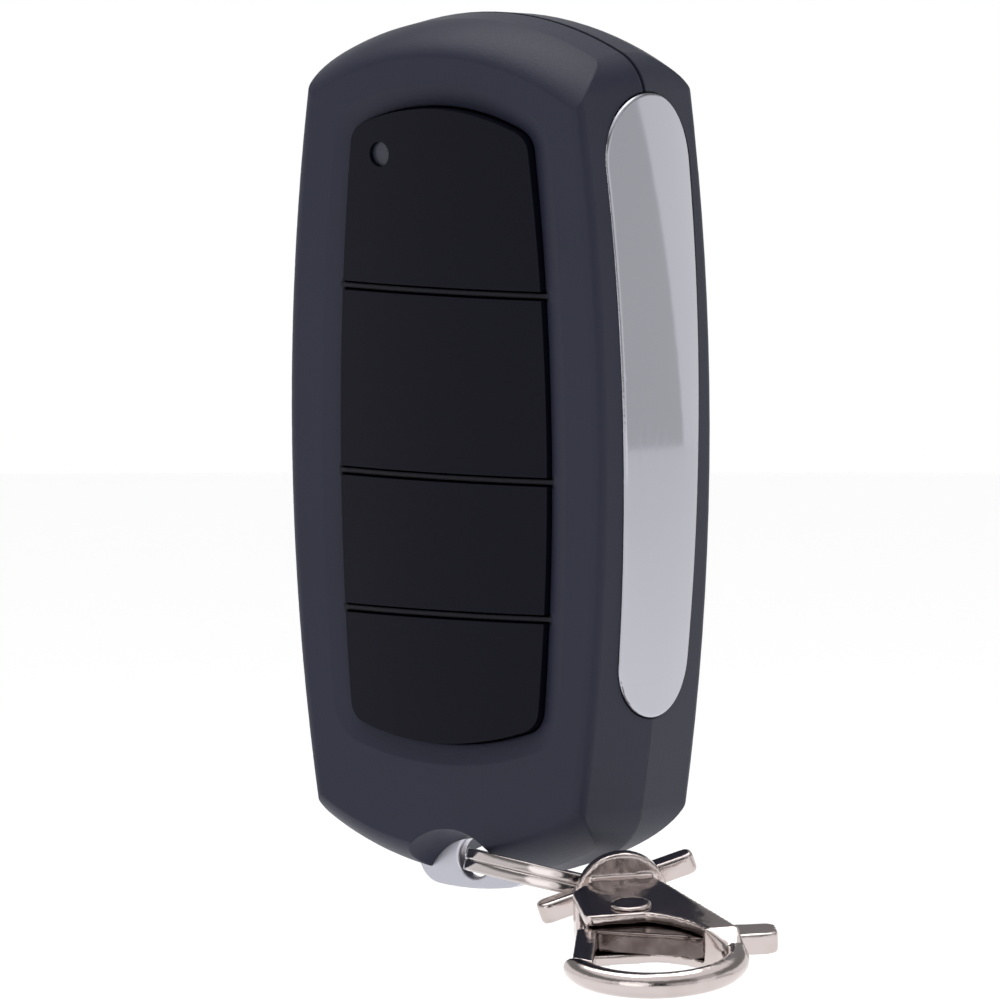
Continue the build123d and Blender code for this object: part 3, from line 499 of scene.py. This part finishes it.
class PaintInside(bpy.types.Operator):
    """Give the hidden electronics their finishes"""

    bl_idname = "remote.paint_inside"
    bl_label = "Paint Inside"

    def execute(self, context):
        board = moulded_plastic("board lacquer", (0.02, 0.14, 0.05, 1), 0.35, grain=1.5, depth=0.01,
                                radius=0.05, level=0.5)
        dress(board, "circuit_board")
        black = moulded_plastic("black housings", linear(30, 30, 32), 0.5, grain=4.0, depth=0.004,
                                radius=0.05)
        dress(black, "encoder_chip", "transistor", "chip_resistors")
        for number in KEYS:
            dress(black, f"switch_{number}", f"switch_plunger_{number}")
        lamp = moulded_plastic("lamp resin", (0.45, 0.03, 0.03, 1), 0.15, grain=1.0, depth=0.001, radius=0.05,
                               level=0.5)
        dress(lamp, "status_lamp")
        tin = plated_metal("plain tin", (0.55, 0.55, 0.53, 1), 0.35, polish=0.6, depth=0.005, radius=0.05)
        dress(tin, "resonator", "battery_contact_plus", "battery_contact_minus")
        copper = plated_metal("copper wire", (0.75, 0.38, 0.2, 1), 0.3, polish=0.6, depth=0.003, radius=0.05)
        dress(copper, "antenna_loop")
        sleeve = moulded_plastic("battery sleeve", linear(60, 62, 66), 0.35, grain=2.0, depth=0.003,
                                 radius=0.1, level=0.5)
        dress(sleeve, "battery")
        return {"FINISHED"}


class WindRing(bpy.types.Operator):
    """Wind the split ring from flat wire: two turns with the crossing step"""

    bl_idname = "remote.wind_ring"
    bl_label = "Wind Split Ring"

    # In degrees: the level part of each turn, the crossing step between them, and where the wire starts
    level_arc = 322
    crossing_arc = 38
    start_angle = 176
    wire_corner = 0.18 * MM

    def execute(self, context):
        look = context.scene.remote_metal
        half_width, half_thickness = look.wire_width / 2, look.wire_thickness / 2
        work = bmesh.new()
        # The wire's section, with the first coil just under the middle plane
        for x, z in ((-1, -2), (1, -2), (1, 0), (-1, 0)):
            work.verts.new((look.ring_radius + x * half_width, 0, z * half_thickness))
        work.faces.new(work.verts)
        bmesh.ops.bevel(work, geom=list(work.verts), offset=self.wire_corner, segments=3, profile=0.5,
                        affect="VERTICES", material=-1)
        section = list(work.faces) + list(work.edges) + list(work.verts)
        level, crossing = (self.level_arc, 0.0), (self.crossing_arc, look.wire_thickness)
        for arc, lift in (level, crossing, level):
            count = max(4, round(arc * look.ring_steps / 360))
            spun = bmesh.ops.spin(work, geom=section, cent=(0, 0, 0), axis=(0, 0, 1),
                                  dvec=(0, 0, lift / count), angle=math.radians(arc), steps=count,
                                  use_merge=False, use_normal_flip=False, use_duplicate=False)
            section = spun["geom_last"]
        bmesh.ops.remove_doubles(work, verts=work.verts, dist=1e-7)
        bmesh.ops.recalc_face_normals(work, faces=work.faces)
        start = Matrix.Rotation(math.radians(self.start_angle), 4, "Z")
        bmesh.ops.transform(work, matrix=ring_place() @ start, verts=work.verts)
        for face in work.faces:
            face.smooth = True
        ring = put(context, "wound_ring", finished_mesh(work, "wound_ring"))
        plating = plated_metal("ring plating", look.ring_colour, 0.10, depth=0.02, radius=0.1)
        ring.data.materials.append(plating)
        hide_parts("split_ring")
        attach(ring, "ring")
        return {"FINISHED"}


def ring_place():
    """Where the split ring lies and how it is turned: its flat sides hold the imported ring's largest faces."""
    low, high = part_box("split_ring")
    largest = max(nodes["split_ring"].data.polygons, key=lambda face: face.area)
    upright = largest.normal.copy()
    if upright.z < 0:
        upright.negate()
    across = Vector((1, 0, 0)).cross(upright).normalized()
    turn = Matrix((across, upright.cross(across), upright)).transposed().to_4x4()
    return Matrix.Translation((low + high) / 2) @ turn


# The sky is white all round. Each part of it is a direction, and how far along it the part fades in.
CARD_WAY = (0.406, -0.266, -0.874)
CARD_EDGE = (-0.01, 0.01)
CARD_FOOT = (-0.30, -0.29)
CARD_SHADE = 0.3
BAND_EDGE = (0.24, 0.36)
BAND_SHADE = 0.75
TOP_EDGE = (0.62, 0.78)
TOP_GLOW = 0.8
LENS_EDGE = (0.94, 0.98)
LENS_SHADE = 0.92
WINDOW_WAY = (0.2034, -0.9568, 0.2079)
WINDOW_EDGE = (0.925, 0.95)

# The remote's middle, a point near its lug, and the way from that point to the picture's middle
MIDDLE = Vector((0.002, -0.010, -0.004))
NEAR_LUG = Vector((0, -8.2, -38.5)) * MM
AIM_RIGHT = 0.13 * MM
AIM_UP = 33.36 * MM


class BuildStage(bpy.types.Operator):
    """Put the light table, the soft lights and the camera in place"""

    bl_idname = "remote.build_stage"
    bl_label = "Build Stage"

    def execute(self, context):
        look = context.scene.remote_stage
        self.lay_table(context, look)
        self.light_sky(context, look)
        self.hang_panel(context, "overhead panel", (-0.10, 0.05, 0.45), width=0.40, power=look.key_light)
        self.hang_panel(context, "right panel", (0.50, 0.05, 0.12), width=0.25, power=look.side_light)
        self.set_camera(context, look)
        context.scene.view_settings.view_transform = "Standard"
        return {"FINISHED"}

    def lay_table(self, context, look):
        """A round, pale and faintly glowing table, low enough for the clasp to hang over it."""
        work = bmesh.new()
        bmesh.ops.create_circle(work, cap_ends=True, radius=look.table_radius, segments=96)
        bmesh.ops.translate(work, vec=(0, 0, cad_box[0].z - look.table_drop), verts=work.verts)
        floor = put(context, "floor", finished_mesh(work, "floor"))
        paint = Finish("floor paint")
        tone = paint.mix(paint.noise(0.002), look.floor_colour, (0.88, 0.88, 0.88, 1))
        floor.data.materials.append(paint.surface(base_color=tone, roughness=0.8, emission_color=tone,
                                                  emission_strength=look.table_glow))

    def light_sky(self, context, look):
        """Plain white to the camera. The remote also mirrors what stands round it.

        That is a grey card low at the right, a darker band with a bright top above it,
        a dark patch behind the lens, and a soft window left of the lens.
        """
        sky = Finish("soft sky", bpy.data.worlds)
        context.scene.world = sky.material
        height = sky.along((0, 0, 1))
        card = sky.along(CARD_WAY).step(*CARD_EDGE) * height.step(*CARD_FOOT)
        level = look.sky_strength * (1.0 - card * CARD_SHADE)
        level = level * (1.0 - height.step(*BAND_EDGE) * BAND_SHADE + height.step(*TOP_EDGE) * TOP_GLOW)
        level = level * (1.0 - sky.along(TOWARD_LENS).step(*LENS_EDGE) * LENS_SHADE)
        level = level + sky.along(WINDOW_WAY).step(*WINDOW_EDGE) * look.front_light
        seen = sky.node("ShaderNodeLightPath", {}, {}, output="Is Camera Ray")
        level = level * (1.0 - seen) + seen
        back = sky.node("ShaderNodeBackground", {}, {"Color": (1.0, 1.0, 1.0, 1), "Strength": level})
        sky.node("ShaderNodeOutputWorld", {}, {"Surface": back})

    def hang_panel(self, context, name, place, width, power, height=0.40):
        """A soft panel of light that faces the remote."""
        light = bpy.data.lights.new(name, "AREA")
        light.shape = "RECTANGLE"
        light.size = width
        light.size_y = height
        light.energy = power
        lamp = put(context, name, light)
        lamp.location = place
        lamp.rotation_euler = (MIDDLE - Vector(place)).to_track_quat("-Z", "Y").to_euler()

    def set_camera(self, context, look):
        """A far camera at the photograph's angle, with the remote where the photograph has it."""
        right = Vector(FRAME_RIGHT).normalized()
        back = Vector(TOWARD_LENS).normalized()
        up = back.cross(right).normalized()
        aim = NEAR_LUG + right * AIM_RIGHT + up * AIM_UP
        optics = bpy.data.cameras.new("camera")
        optics.sensor_width = 36
        optics.sensor_fit = "HORIZONTAL"
        optics.lens = optics.sensor_width * look.distance / look.frame_width
        optics.clip_end = 20
        camera = put(context, "camera", optics)
        turn = Matrix((right, up, back)).transposed().to_4x4()
        camera.matrix_world = Matrix.Translation(aim + back * look.distance) @ turn
        context.scene.camera = camera


class RemotePanel(bpy.types.Panel):
    """Lists the settings and the steps that dress the remote"""

    bl_idname = "VIEW3D_PT_gate_remote"
    bl_label = "Gate Remote"
    bl_space_type = "VIEW_3D"
    bl_region_type = "UI"
    bl_category = "Gate Remote"

    def draw(self, context):
        layout = self.layout
        for group in (context.scene.remote_case, context.scene.remote_metal, context.scene.remote_stage):
            box = layout.box()
            for key in group.bl_rna.properties.keys():
                if key not in ("rna_type", "name"):
                    box.prop(group, key)
        for step in STEPS:
            layout.operator(step.bl_idname)


STEPS = (PaintCase, PaintKeys, PaintStrips, PaintMetal, CastClasp, PaintInside, WindRing, BuildStage)
GROUPS = (CaseSettings, MetalSettings, StageSettings)
CLASSES = GROUPS + STEPS + (RemotePanel,)


def register():
    for item in CLASSES:
        bpy.utils.register_class(item)
    bpy.types.Scene.remote_case = PointerProperty(type=CaseSettings)
    bpy.types.Scene.remote_metal = PointerProperty(type=MetalSettings)
    bpy.types.Scene.remote_stage = PointerProperty(type=StageSettings)


def unregister():
    del bpy.types.Scene.remote_case
    del bpy.types.Scene.remote_metal
    del bpy.types.Scene.remote_stage
    for item in reversed(CLASSES):
        bpy.utils.unregister_class(item)


def main():
    register()
    for step in STEPS:
        group, name = step.bl_idname.split(".")
        getattr(getattr(bpy.ops, group), name)()


if __name__ == "__main__":
    main()
